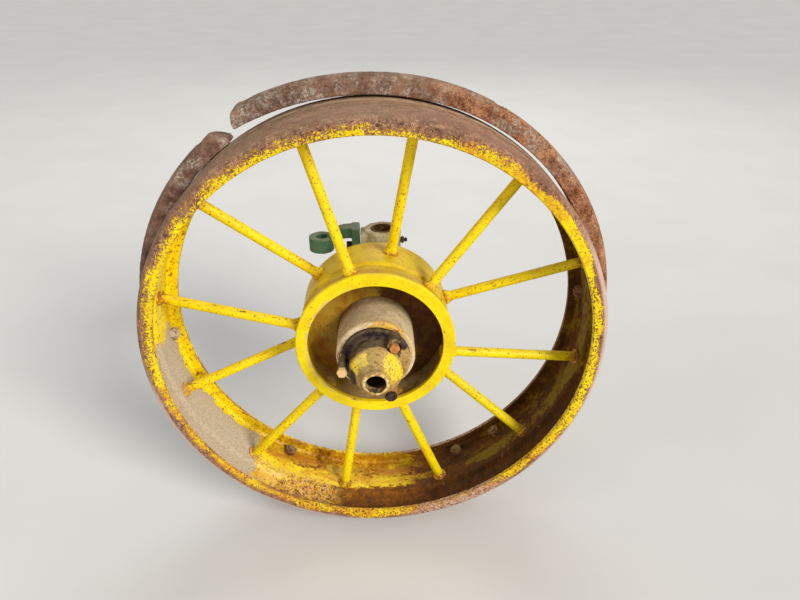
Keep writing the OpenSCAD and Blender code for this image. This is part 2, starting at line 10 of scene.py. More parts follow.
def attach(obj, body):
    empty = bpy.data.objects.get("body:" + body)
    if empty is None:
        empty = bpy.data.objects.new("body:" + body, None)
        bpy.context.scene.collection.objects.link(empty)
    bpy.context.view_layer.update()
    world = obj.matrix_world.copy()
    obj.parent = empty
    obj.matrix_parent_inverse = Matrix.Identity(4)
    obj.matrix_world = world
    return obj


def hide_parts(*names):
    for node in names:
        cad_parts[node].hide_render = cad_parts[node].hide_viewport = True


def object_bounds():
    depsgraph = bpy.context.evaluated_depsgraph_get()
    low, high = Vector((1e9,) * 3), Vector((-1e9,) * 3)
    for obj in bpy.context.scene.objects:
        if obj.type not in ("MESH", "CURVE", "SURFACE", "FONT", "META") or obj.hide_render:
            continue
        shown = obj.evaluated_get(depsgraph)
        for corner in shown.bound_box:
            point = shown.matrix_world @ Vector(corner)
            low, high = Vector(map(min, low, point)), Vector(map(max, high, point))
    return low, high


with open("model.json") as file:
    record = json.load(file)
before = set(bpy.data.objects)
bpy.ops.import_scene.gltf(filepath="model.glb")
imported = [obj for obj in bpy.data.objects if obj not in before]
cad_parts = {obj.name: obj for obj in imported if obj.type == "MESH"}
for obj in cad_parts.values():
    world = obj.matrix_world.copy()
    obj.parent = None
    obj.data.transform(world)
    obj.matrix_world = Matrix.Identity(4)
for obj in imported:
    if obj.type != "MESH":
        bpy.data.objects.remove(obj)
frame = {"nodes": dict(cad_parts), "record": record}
cad_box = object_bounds()
nodes = frame["nodes"]

MM = 0.001
# How far the wheel's outer face lies out from the king pin, and its axis back from it, in metres
WHEEL_OUT = 0.210
TRAIL = 0.014

# The rim's width and the radius of its lips' inner edges, in millimetres
RIM_WIDTH = 151.0
LIP_RADIUS = 330.0

# The photo's view, in metres and radians, and its lens in millimetres
CAMERA_PLACE = (-0.0071, -1.02765, 0.5398)
CAMERA_TURN = (math.pi / 2 - 0.5005, 0, -0.0364)
CAMERA_LENS = 29.04
CAMERA_SENSOR = 36
CAMERA_NEAR = 0.02

# Studio, in metres and radians
FLOOR_HALF = 20
FLOOR_DROP = 0.002
KEY_FROM = (1.0, -1.15, 0.85)
KEY_POWER = 2.75
KEY_ANGLE = 0.4
KEY_TINT = (1, 0.98, 0.95)
LAMP_SIZE = 2.5
FILL_TINT = (0.97, 0.98, 1)
SKY_TINT = (0.86, 0.88, 0.92, 1)
SKY_POWER = 0.42

# Paint and rust that several pieces share, as screen colours from 0 to 255
YELLOW = (250, 221, 2)
YELLOW_AGED = (220, 176, 18)
YELLOW_SHADE = (142, 112, 12)
BURNT_ORANGE = (204, 128, 14)
BURNT_BROWN = (142, 82, 14)
ORANGE_RUST = (196, 104, 34)
RED_RUST = (132, 62, 24)
DARK_RUST = (66, 36, 22)
SCALE_GREY = (190, 176, 160)
CREAM = (222, 202, 160)
DUST = (184, 162, 122)
GREASE = (38, 28, 28)
GREASE_DRY = (72, 54, 44)
OLD_GREEN = (58, 112, 84)

# Tread and lips
TREAD_RUST = (186, 138, 104)
TREAD_DARK = (128, 90, 66)
TREAD_PALE = (204, 168, 136)
TREAD_ROSE = (154, 102, 86)
LIP_PURPLE = (112, 78, 64)
LIP_PAINTED_SHADE = (62, 40, 30)
LIP_CHALK = (214, 178, 156)
CHALK_PIT = (70, 44, 34)
EDGE_HIGHLIGHT_PALE = (222, 194, 178)

# Channel inside the rim
CHANNEL_RUST = (146, 80, 10)
CHANNEL_DARK = (72, 33, 6)
CHANNEL_STAIN = (50, 26, 8)
CHANNEL_PAINTED_SHADE = (46, 26, 2)
REAR_STAIN = (148, 88, 10)
MOTTLE_YELLOW = (244, 196, 40)
MOTTLE_PINK = (232, 184, 140)
MOTTLE_BROWN = (120, 60, 20)
MUD = (197, 179, 154)
MUD_DARK = (168, 151, 122)
MUD_PALE = (212, 198, 172)

# Guide bands
BAND_RUST = (152, 114, 88)
BAND_DARK = (94, 64, 50)
BAND_MAROON = (104, 70, 66)
BAND_ORANGE = (198, 142, 100)
BAND_BURNT = (122, 66, 38)
BAND_PALE = (214, 190, 160)
BAND_RED = (150, 76, 36)

# Spokes
SPOKE_CHIP = (96, 56, 30)
FOOT_RUST = (176, 108, 44)
FOOT_DARK = (104, 58, 24)
FOOT_MUD = (226, 186, 120)

# Hub drum
DRUM_AGED = (204, 164, 24)
DRUM_DULL_SHADED = (196, 162, 16)
WAIST_STAIN = (190, 136, 84)
RING_WORN = (214, 184, 120)
DRUM_SHADED_OLIVE = (172, 138, 30)
OLIVE_PATCH = (120, 92, 8)

# Hub barrel and cap
BARREL_PALE = (234, 208, 166)
BARREL_DARK = (178, 150, 110)
BARREL_PAINTED_SHADE = (120, 92, 48)
BARREL_DUST = (208, 182, 138)
LEDGE_YELLOW = (232, 182, 66)
LEDGE_AGED = (226, 190, 120)
CAP_TAN = (206, 170, 98)
CAP_BROWN = (146, 112, 60)
CAP_YELLOW = (250, 216, 30)
CAP_AGED = (240, 212, 120)
CAP_RUST = (220, 146, 72)
SNOUT_CREASE_SHADE = (74, 52, 34)
MOUTH_BROWN = (176, 132, 66)
MOUTH_BRIGHT = (232, 200, 130)
MOUTH_CHIP = (104, 66, 34)

# Knuckle and steering arm
POST_PALE = (228, 216, 176)
POST_DARK = (176, 162, 122)
POST_GREEN = (96, 124, 98)
ARM_AGED = (84, 124, 96)
ARM_DUST = (170, 164, 132)

# Bolts, bushes, shield and shaft
BOLT_ORANGE = (210, 140, 72)
BOLT_BROWN = (150, 82, 34)
BOLT_CREAM = (232, 190, 130)
BAND_BOLT = (150, 104, 60)
BAND_BOLT_DARK = (84, 54, 30)
BLACK_BOLT = (84, 66, 60)
GASKET_BLACK = (54, 44, 40)
BRONZE = (150, 112, 60)
BRONZE_DARK = (96, 70, 40)
SHIELD_BROWN = (110, 92, 74)
BARE_STEEL = (120, 112, 102)
STEEL_DARK = (70, 60, 52)

# Floor
FLOOR_PALE = (224, 222, 217)
FLOOR_CLOUD = (205, 203, 198)

# Places round the wheel, clockwise from the top in degrees: the middle, the half width, and the soft
# stretch beyond it
LIP_TOP = (8, 24, 20)
LIP_STAINED = (36, 13, 9)
LIP_SPECKLED = (93, 20, 12)
LIP_RIGHT = (92, 36, 16)
LIP_REAR_RIGHT = (95, 60, 24)
LIP_HIGHLIGHT_RIGHT = (96, 28, 16)
LIP_CHALKY = (156, 8, 13)
LIP_BOTTOM = (165, 34, 22)
LIP_LOWER_LEFT = (226, 26, 20)
TREAD_DUSTY = (330, 28, 18)
CHANNEL_SHADED_RIGHT = (105, 52, 22)
CHANNEL_BURNT = (158, 38, 22)
CHANNEL_LIP_SHADOW = (165, 70, 20)
CHANNEL_BOTTOM = (184, 26, 20)
CHANNEL_MOTTLED = (207, 9, 9)
CHANNEL_MUDDY = (243.5, 18.5, 12)
BAND_LEFT = (345, 60, 40)
BAND_RIGHT = (72, 46, 24)
BAND_CROWN = (38, 9, 9)
SPOKES_MUDDY = (241, 22, 12)
DRUM_TOP = (0, 60, 30)
DRUM_SHADED_RIGHT = (85, 60, 40)
RING_LEFT = (268, 50, 30)
LEDGE_CHIPPED = (40, 42, 26)
BARREL_RIGHT = (85, 26, 24)
CAP_LUG = (34, 20, 10)
CAP_RIGHT = (66, 34, 20)
CAP_LOWER_RIGHT = (132, 22, 22)
CAP_SHADED_LOWER_LEFT = (252, 26, 18)
CAP_LEFT = (312, 20, 16)
CAP_UPPER_LEFT = (335, 75, 30)
BOLT_LEFT = (274, 25, 15)
BOLT_MUDDY = (250, 24, 8)

# Stretches run from where a mask is off to where it is on, in millimetres. Of these the first is by
# radius, the second in from the rim's side faces, and the others by depth
RIM_OUTER_SKIN = (349.0, 350.5)
RIM_SIDE_SKIN = (8.0, 7.0)
LIP_REAR = (120.0, 140.0)
PALE_STRIP_STARTS = (88.0, 96.0)
PALE_STRIP_ENDS = (108.0, 102.0)

# Stretches from a lip's inner edge out over the lip and the tread
LIP_INNER_EDGE = (12.0, 3.0)
LIP_INNER_FACE = (30.0, 16.0)
LIP_FACE = (40.0, 26.0)
LIP_HALOED = (34.0, 24.0)
PALE_STARTS = (13.0, 20.0)
PALE_ENDS = (52.0, 40.0)
ROSE_STARTS = (32.0, 42.0)
ROSE_ENDS = (74.0, 52.0)

# How far out the yellow flakes reach from a lip's inner edge, how far that wanders, and how far it is
# drawn in on the right and at the lower left. Then stretches past that reach
FLAKES_REACH = 20.0
FLAKES_WANDER = 5.0
FLAKES_SHORT_RIGHT = 5.0
FLAKES_SHORT_LEFT = 7.0
FLAKES_THIN = (9.0, -9.0)
FLAKES_END = (16.0, 9.0)

# Stretches across the channel, by depth, and in to the middle of its rib. The mud's shore wanders
NEAR_LIP_SHADOW = (26.0, 11.0)
NEAR_STRIP = (76.0, 56.0)
MOTTLED_STRIP = (84.0, 66.0)
REAR_STRIP = (100.0, 112.0)
MUD_SHORE = (142.0, 124.0)
SHORE_WANDER = 14.0
RIB_FLANK = (30.0, 18.0)

# Stretches along the spokes and band bolts, by radius
SPOKE_RIM_END = (300.0, 338.0)
SPOKE_DRUM_END = (140.0, 122.0)
SPOKE_COLLAR = (124.0, 121.0)
SPOKE_FOOT = (328.0, 337.0)
SPOKE_OUTER_END = (350.0, 352.0)
BAND_BOLTS = (200.0, 220.0)

# Stretches of the hub drum and barrel, by depth, and by radius for the ring's bore and the drum's wall
RING_FACE = (23.0, 21.0)
RING_BORE = (111.0, 106.5)
DRUM_BODY = (24.0, 29.0)
DRUM_WALL = (112.5, 108.5)
DRUM_HOLLOW = (26.0, 28.0)
WAIST_STARTS = (26.0, 31.0)
WAIST_ENDS = (62.0, 40.0)
LEDGE_FRONT = (6.0, -5.0)
BARREL_REAR = (40.0, 66.0)

# Stretches of the cap: those below zero by depth, the others by radius
CAP_REAR = (-50.0, -36.0)
RUSTY_DEPTH = (-30.0, -46.0)
DOME_DEPTH = (-44.0, -50.0)
DOME_FRONT = (-68.0, -60.0)
DOME_RADIUS = (20.0, 26.0)
PATCH_DEPTH = (-70.0, -62.0)
PATCH_RADIUS = (19.0, 21.0)
LUG_RADIUS = (37.0, 42.0)
SNOUT_FOOT = (24.0, 21.0)
SNOUT_HOLE = (15.5, 14.4)
CREASE_RADIUS = (18.6, 19.6)
CREASE_STARTS = (-64.0, -70.0)
CREASE_ENDS = (-77.0, -74.0)
MOUTH_OUTER = (20.5, 18.5)
MOUTH_INNER = (14.0, 15.0)
MOUTH_FACE = (-75.5, -77.5)

# How the shared effects answer
SHEEN = 0.22
BARE_LEVEL = 0.74
FULL_LEVEL = 0.26
HALO_START = 0.085
HALO_END = 0.03
HOOP_STRETCH = 0.2
RAY_TURN = 0.2
RAY_STRETCH = 0.16
DUST_SHADE = 0.8
DUST_ROUGHNESS = 0.95
DUST_HEIGHT = 0.6
OLIVE_ROUGHNESS = 0.9
MUD_ROUGHNESS = 0.97
GREASE_ROUGHNESS = 0.55
FLOOR_ROUGHNESS = 0.9

# Castings: how near two points are one, in metres, and the falloff, spacing and layers of their lumps
WELD = 1e-6
LUMP_FALLOFF = 1.0
LUMP_SPACING = 2.0
LUMP_LAYERS = 3


def screen(rgb):
    """Turns a screen colour into the linear colour that shaders take."""
    return tuple((c / 255 / 12.92 if c < 11 else ((c / 255 + 0.055) / 1.055) ** 2.4) for c in rgb) + (1.0,)


class Tree:
    """Short calls that add shader nodes to one tree and give back their output sockets."""

    def __init__(self, tree):
        self.tree = tree

    def put(self, kind, **settings):
        node = self.tree.nodes.new(kind)
        for name, value in settings.items():
            setattr(node, name, value)
        return node

    def feed(self, socket, value):
        if isinstance(value, bpy.types.NodeSocket):
            self.tree.links.new(value, socket)
        else:
            socket.default_value = value

    def math(self, operation, a, b=0.0, clamp=False):
        node = self.put("ShaderNodeMath", operation=operation, use_clamp=clamp)
        self.feed(node.inputs[0], a)
        self.feed(node.inputs[1], b)
        return node.outputs[0]

    def fold(self, operation, values):
        result = values[0]
        for value in values[1:]:
            result = self.math(operation, result, value)
        return result

    def plus(self, *values):
        return self.fold("ADD", values)

    def times(self, *values):
        return self.fold("MULTIPLY", values)

    def most(self, *values):
        return self.fold("MAXIMUM", values)

    def minus(self, a, b):
        return self.math("SUBTRACT", a, b)

    def rest_of(self, mask):
        return self.math("SUBTRACT", 1.0, mask, clamp=True)

    def ease(self, value, low, high, to_low, to_high):
        """A smooth change from one value to another as the input goes from low to high."""
        node = self.put("ShaderNodeMapRange", interpolation_type="SMOOTHSTEP")
        for socket, v in zip(node.inputs[:5], (value, low, high, to_low, to_high)):
            self.feed(socket, v)
        return node.outputs[0]

    def step(self, value, off, on):
        """0 where the input is at off, easing to 1 where it is at on."""
        return self.ease(value, off, on, 0.0, 1.0)

    def mix(self, mask, a, b):
        node = self.put("ShaderNodeMix", data_type="RGBA")
        self.feed(node.inputs["Factor"], mask)
        self.feed(node.inputs[6], a)
        self.feed(node.inputs[7], b)
        return node.outputs[2]

    def noise(self, vector, size, detail=3.0, roughness=0.55, twist=0.0):
        """Cloudy values round 0.5, with lumps about size millimetres across."""
        node = self.put("ShaderNodeTexNoise")
        self.feed(node.inputs["Vector"], vector)
        if isinstance(size, bpy.types.NodeSocket):
            self.feed(node.inputs["Scale"], self.math("DIVIDE", 1 / MM, size))
        else:
            self.feed(node.inputs["Scale"], 1 / (size * MM))
        for name, value in (("Detail", detail), ("Roughness", roughness), ("Distortion", twist)):
            self.feed(node.inputs[name], value)
        return node.outputs[0]

    def scaled(self, vector, x, y, z):
        node = self.put("ShaderNodeVectorMath", operation="MULTIPLY")
        self.feed(node.inputs[0], vector)
        self.feed(node.inputs[1], (x, y, z))
        return node.outputs[0]

    def height_of(self, vector):
        parts = self.put("ShaderNodeSeparateXYZ")
        self.feed(parts.inputs[0], vector)
        return parts.outputs[2]

    def group(self, tree, *outputs, **inputs):
        """Places a node group, feeds its named inputs and gives back the named outputs."""
        node = self.put("ShaderNodeGroup", node_tree=tree)
        for name, value in inputs.items():
            self.feed(node.inputs[name], value)
        found = [node.outputs[name] for name in outputs]
        return found[0] if len(found) == 1 else found


def make_group(name, inputs, outputs):
    """A shader node group with named inputs, each a kind and a default, and named outputs."""
    tree = bpy.data.node_groups.new(name, "ShaderNodeTree")
    for label, (kind, default) in inputs.items():
        socket = tree.interface.new_socket(label, in_out="INPUT", socket_type="NodeSocket" + kind)
        if default is not None:
            socket.default_value = default
    for label, kind in outputs.items():
        tree.interface.new_socket(label, in_out="OUTPUT", socket_type="NodeSocket" + kind)
    t = Tree(tree)
    return t, t.put("NodeGroupInput").outputs, t.put("NodeGroupOutput").inputs


def group_wheel_place():
    """Radius and depth in millimetres and the turn clockwise from the top, about the wheel's axis."""
    t, given, out = make_group("wheel_place", {"Vector": ("Vector", None)},
                               {"Radius": "Float", "Depth": "Float", "Turn": "Float"})
    parts = t.put("ShaderNodeSeparateXYZ")
    t.feed(parts.inputs[0], given["Vector"])
    x, y, z = t.plus(parts.outputs[0], TRAIL), parts.outputs[1], parts.outputs[2]
    radius = t.math("SQRT", t.plus(t.times(x, x), t.times(z, z)))
    t.feed(out["Radius"], t.times(radius, 1 / MM))
    t.feed(out["Depth"], t.times(t.plus(y, WHEEL_OUT), 1 / MM))
    turn = t.times(t.math("ARCTAN2", x, z), 180 / math.pi)
    t.feed(out["Turn"], t.math("FLOORED_MODULO", turn, 360.0))
    return t.tree


def group_near_turn():
    """1 within half degrees of a middle angle, falling to 0 over the soft degrees beyond."""
    t, given, out = make_group("near_turn", {
        "Turn": ("Float", 0.0), "Middle": ("Float", 0.0), "Half": ("Float", 20.0), "Soft": ("Float", 10.0)},
        {"Mask": "Float"})
    away = t.minus(given["Turn"], given["Middle"])
    away = t.math("FLOORED_MODULO", t.plus(away, 180.0), 360.0)
    away = t.math("ABSOLUTE", t.minus(away, 180.0))
    t.feed(out["Mask"], t.ease(away, given["Half"], t.plus(given["Half"], given["Soft"]), 1.0, 0.0))
    return t.tree


def group_flecks():
    """Ragged flecks that cover a given share of the surface, and the halo round them."""
    t, given, out = make_group("flecks", {
        "Vector": ("Vector", None), "Size": ("Float", 5.0), "Cover": ("Float", 0.3), "Edge": ("Float", 0.02),
        "Twist": ("Float", 0.5)}, {"Mask": "Float", "Halo": "Float"})
    cloud = t.noise(given["Vector"], given["Size"], detail=4.0, roughness=0.62, twist=given["Twist"])
    level = t.ease(given["Cover"], 0.0, 1.0, BARE_LEVEL, FULL_LEVEL)
    t.feed(out["Mask"], t.step(cloud, off=t.minus(level, given["Edge"]), on=t.plus(level, given["Edge"])))
    t.feed(out["Halo"], t.step(cloud, off=t.minus(level, HALO_START), on=t.minus(level, HALO_END)))
    return t.tree


def group_old_rust():
    """Rusted steel: brown clouds, dark pits and pale scale, with its roughness and height."""
    t, given, out = make_group("old_rust", {
        "Vector": ("Vector", None), "Light": ("Color", screen(TREAD_RUST)),
        "Dark": ("Color", screen(TREAD_DARK)), "Pit": ("Color", screen(DARK_RUST)),
        "Scale": ("Color", screen(SCALE_GREY)), "Lump": ("Float", 18.0), "Pitted": ("Float", 0.25),
        "Scaled": ("Float", 0.0)},
        {"Color": "Color", "Roughness": "Float", "Height": "Float"})
    vector = given["Vector"]
    cloud = t.noise(vector, given["Lump"], detail=5.0, roughness=0.6, twist=0.4)
    broad = t.noise(vector, size=75.0, roughness=0.5)
    fine = t.noise(vector, size=3.0, roughness=0.6)
    grain = t.noise(vector, size=3.2, detail=4.0, roughness=0.75)
    body = t.plus(t.times(cloud, 0.45), t.plus(t.times(broad, 0.25), t.times(fine, 0.3)))
    color = t.mix(t.step(body, off=0.38, on=0.62), given["Dark"], given["Light"])
    color = t.mix(t.times(t.step(fine, off=0.44, on=0.26), 0.5), color, given["Pit"])
    color = t.mix(t.times(t.step(fine, off=0.56, on=0.74), 0.4), color, given["Scale"])
    pits = t.group(FLECKS, "Mask", Vector=vector, Size=5.0, Cover=given["Pitted"], Edge=0.04, Twist=0.6)
    scale = t.group(FLECKS, "Mask", Vector=vector, Size=30.0, Cover=given["Scaled"], Edge=0.1, Twist=0.2)
    color = t.mix(t.times(pits, 0.6), color, given["Pit"])
    color = t.mix(t.times(scale, t.ease(grain, 0.46, 0.56, 0.08, 0.9)), color, given["Scale"])
    height = t.plus(t.times(fine, 0.35), t.times(cloud, 0.65))
    t.feed(out["Color"], color)
    t.feed(out["Roughness"], t.ease(cloud, 0.3, 0.7, 0.74, 0.9))
    t.feed(out["Height"], t.minus(t.plus(height, t.times(scale, 0.3)), t.times(pits, 0.5)))
    return t.tree


def group_worn_paint():
    """Old paint: faded clouds, orange stains, rusty chips with dark hearts, and small dark specks."""
    t, given, out = make_group("worn_paint", {
        "Vector": ("Vector", None), "Paint": ("Color", screen(YELLOW)),
        "Aged": ("Color", screen(YELLOW_AGED)), "Fade": ("Float", 0.3), "Chips": ("Float", 0.1),
        "Specks": ("Float", 0.12), "Stain": ("Float", 0.1)},
        {"Color": "Color", "Roughness": "Float", "Height": "Float"})
    vector = given["Vector"]
    faded = t.step(t.noise(vector, size=30.0, detail=4.0, roughness=0.6, twist=0.5), off=0.4, on=0.7)
    color = t.mix(t.times(faded, given["Fade"]), given["Paint"], given["Aged"])
    stain = t.group(FLECKS, "Mask", Vector=vector, Size=26.0, Cover=given["Stain"], Edge=0.12, Twist=0.8)
    blotch = t.ease(t.noise(vector, size=4.0), 0.35, 0.6, 0.2, 0.75)
    color = t.mix(t.times(stain, blotch), color, screen(ORANGE_RUST))
    chip, halo = t.group(FLECKS, "Mask", "Halo", Vector=vector, Size=8.0, Cover=given["Chips"], Edge=0.02,
                         Twist=0.7)
    speck, ring = t.group(FLECKS, "Mask", "Halo", Vector=vector, Size=3.4, Cover=given["Specks"], Edge=0.03,
                          Twist=0.2)
    color = t.mix(t.times(t.most(halo, ring), 0.45), color, screen(ORANGE_RUST))
    rust = t.mix(t.step(t.noise(vector, size=4.0), off=0.4, on=0.6), screen(DARK_RUST), screen(RED_RUST))
    color = t.mix(chip, color, rust)
    color = t.mix(t.times(speck, 0.85), color, screen(DARK_RUST))
    bare = t.most(chip, speck, t.times(stain, 0.4))
    dull = t.ease(t.noise(vector, size=16.0), 0.3, 0.7, 0.0, 0.16)
    t.feed(out["Color"], color)
    t.feed(out["Roughness"], t.plus(t.ease(bare, 0.0, 1.0, 0.36, 0.8), dull))
    t.feed(out["Height"], t.minus(t.plus(t.times(t.noise(vector, size=6.0), 0.3), 0.75), t.times(bare, 0.7)))
    return t.tree


def group_settled_dust():
    """How much dust or mud lies on a surface that looks up, broken into clouds."""
    t, given, out = make_group("settled_dust", {
        "Normal": ("Vector", None), "Vector": ("Vector", None), "Amount": ("Float", 0.5)}, {"Mask": "Float"})
    facing = t.step(t.height_of(given["Normal"]), off=0.1, on=0.95)
    cloud = t.noise(given["Vector"], size=14.0, detail=5.0, roughness=0.65, twist=0.3)
    t.feed(out["Mask"], t.times(facing, t.step(cloud, off=0.3, on=0.6), given["Amount"]))
    return t.tree


FLECKS = group_flecks()
WHEEL_PLACE = group_wheel_place()
NEAR_TURN = group_near_turn()
OLD_RUST = group_old_rust()
WORN_PAINT = group_worn_paint()
SETTLED_DUST = group_settled_dust()


class Finish(Tree):
    """One material: its shader, its object coordinates, and its place about the wheel.

    Layers are a colour, a roughness and a height, and a share is how strongly a mask shows.
    """

    def __init__(self, name):
        self.material = bpy.data.materials.new(name)
        self.material.use_nodes = True
        super().__init__(self.material.node_tree)
        self.shader = self.tree.nodes["Principled BSDF"]
        self.shader.inputs["Specular IOR Level"].default_value = SHEEN
        where = self.put("ShaderNodeTexCoord")
        self.vector, self.normal = where.outputs["Object"], where.outputs["Normal"]
        self.radius, self.depth, self.turn = self.group(WHEEL_PLACE, "Radius", "Depth", "Turn",
                                                        Vector=self.vector)

    def near(self, place, share=1.0):
        """1 at a named place round the wheel, falling to 0 beyond it."""
        middle, half, soft = place
        mask = self.group(NEAR_TURN, "Mask", Turn=self.turn, Middle=middle, Half=half, Soft=soft)
        return self.times(mask, share)

    def flecks(self, size, cover, edge, twist=0.5, vector=None):
        return self.group(FLECKS, "Mask", Vector=vector or self.vector, Size=size, Cover=cover, Edge=edge,
                          Twist=twist)

    def hooped(self):
        """Coordinates that draw a pattern out round the wheel."""
        return self.scaled(self.vector, HOOP_STRETCH, 1.0, HOOP_STRETCH)

    def rayed(self):
        """Coordinates that draw a pattern out along the spokes."""
        node = self.put("ShaderNodeCombineXYZ")
        self.feed(node.inputs[0], self.times(self.turn, math.pi / 180, RAY_TURN))
        self.feed(node.inputs[1], self.times(self.depth, MM))
        self.feed(node.inputs[2], self.times(self.radius, RAY_STRETCH * MM))
        return node.outputs[0]

    def paint(self, fresh=YELLOW, aged=YELLOW_AGED, **settings):
        return self.group(WORN_PAINT, "Color", "Roughness", "Height", Vector=self.vector,
                          Paint=screen(fresh), Aged=screen(aged), **settings)

    def rust(self, light, dark, scale=SCALE_GREY, **settings):
        return self.group(OLD_RUST, "Color", "Roughness", "Height", Vector=self.vector, Light=screen(light),
                          Dark=screen(dark), Scale=screen(scale), **settings)

    def blend(self, under, over, *masks, share=1.0):
        """Lays one set of layers over another where all the masks are."""
        mask = self.times(*masks, share)
        return (self.mix(mask, under[0], over[0]),
                self.plus(self.times(under[1], self.rest_of(mask)), self.times(over[1], mask)),
                self.plus(self.times(under[2], self.rest_of(mask)), self.times(over[2], mask)))

    def tint(self, layers, color, *masks, share=1.0):
        """Colours the layers where all the masks are."""
        return (self.mix(self.times(*masks, share), layers[0], screen(color)),) + tuple(layers[1:])

    def speckle(self, layers, color, *masks, size, cover, edge, twist=0.5, share=1.0):
        """Colours the layers in flecks where all the masks are."""
        return self.tint(layers, color, *masks, self.flecks(size, cover, edge, twist), share=share)

    def dust(self, layers, color, amount):
        mask = self.group(SETTLED_DUST, "Mask", Normal=self.normal, Vector=self.vector, Amount=amount)
        shade = screen(tuple(c * DUST_SHADE for c in color))
        grain = self.mix(self.step(self.noise(self.vector, size=2.5), off=0.3, on=0.7), screen(color), shade)
        return self.blend(layers, (grain, DUST_ROUGHNESS, DUST_HEIGHT), mask)

    def done(self, layers, bump, metallic=0.0):
        """Feeds the finished layers to the shader; bump is the height in millimetres."""
        color, roughness, height = layers
        self.feed(self.shader.inputs["Base Color"], color)
        self.feed(self.shader.inputs["Roughness"], roughness)
        self.feed(self.shader.inputs["Metallic"], metallic)
        relief = self.put("ShaderNodeBump")
        relief.inputs["Strength"].default_value = 1.0
        relief.inputs["Distance"].default_value = bump * MM
        self.feed(relief.inputs["Height"], height)
        self.feed(self.shader.inputs["Normal"], relief.outputs[0])
        return self.material


def rim_side(f):
    """How far a point lies from the nearer of the rim's two side faces."""
    return f.math("MINIMUM", f.depth, f.minus(RIM_WIDTH, f.depth))


def lip_flakes(f, path):
    """Where yellow flakes still hold on the lips, and the halo round them."""
    wander = f.ease(f.noise(f.vector, size=70.0, detail=2.0), 0.35, 0.65, -FLAKES_WANDER, FLAKES_WANDER)
    drawn_in = f.plus(f.times(f.near(LIP_RIGHT), FLAKES_SHORT_RIGHT),
                      f.times(f.near(LIP_LOWER_LEFT), FLAKES_SHORT_LEFT))
    reach = f.minus(f.plus(FLAKES_REACH, wander), drawn_in)
    past_reach = f.minus(path, reach)
    patchy = f.times(f.minus(f.noise(f.vector, size=48.0, detail=2.0), 0.5), 0.6)
    held = f.plus(f.near(LIP_RIGHT, share=0.3), f.near(LIP_BOTTOM, share=0.16),
                  f.near(LIP_STAINED, share=0.12))
    rear = f.step(f.depth, *LIP_REAR)
    lost = f.plus(f.times(rear, f.near(LIP_REAR_RIGHT, share=0.7)), f.near(LIP_TOP, share=0.04),
                  f.near(LIP_CHALKY, share=0.3))
    inner_edge = f.times(f.step(path, *LIP_INNER_EDGE), 0.14)
    cover = f.plus(f.minus(f.plus(0.44, held, patchy), lost), inner_edge)
    cover = f.times(cover, f.step(past_reach, *FLAKES_THIN))
    flake, halo = f.group(FLECKS, "Mask", "Halo", Vector=f.vector, Size=5.4, Cover=cover, Edge=0.02,
                          Twist=2.2)
    return f.times(flake, f.step(past_reach, *FLAKES_END)), halo


def bare_tread(f, path):
    """Bare brown rust in fine streaks round the tread, darker and more purple on the lips, with painted
    shade in dark flecks by their inner edges.
    """
    bare = f.rust(TREAD_RUST, TREAD_DARK, TREAD_PALE, Lump=22.0, Pitted=0.2, Scaled=0.14)
    streak = f.noise(f.hooped(), size=7.0, detail=4.0)
    bare = f.tint(bare, TREAD_PALE, f.step(streak, off=0.5, on=0.66), share=0.22)
    bare = f.tint(bare, TREAD_DARK, f.step(streak, off=0.46, on=0.34), share=0.3)
    bare = f.speckle(bare, LIP_PURPLE, size=3.6, cover=0.42, edge=0.05, twist=0.8, share=0.62)
    bare = f.speckle(bare, TREAD_PALE, size=3.2, cover=0.36, edge=0.05, twist=0.5, share=0.62)
    rose = f.times(f.step(path, *ROSE_STARTS), f.step(path, *ROSE_ENDS))
    bare = f.tint(bare, TREAD_ROSE, rose, share=0.35)
    broad = f.step(f.noise(f.hooped(), size=26.0), off=0.42, on=0.62)
    bare = f.tint(bare, TREAD_DARK, broad, share=0.3)
    bare = f.speckle(bare, LIP_PURPLE, size=9.0, cover=0.4, edge=0.08, twist=1.0, share=0.42)
    bare = f.speckle(bare, TREAD_PALE, size=11.0, cover=0.32, edge=0.06, twist=0.8, share=0.42)
    lip, inner_lip = f.step(path, *LIP_FACE), f.step(path, *LIP_INNER_FACE)
    bare = f.speckle(bare, LIP_PURPLE, lip, size=6.0, cover=0.42, edge=0.05, twist=1.0, share=0.85)
    # Dark flecks by the lip's inner edge are painted shade in the cracks between the flakes
    return f.speckle(bare, LIP_PAINTED_SHADE, inner_lip, size=5.0, cover=0.4, edge=0.04, twist=1.0, share=0.8)


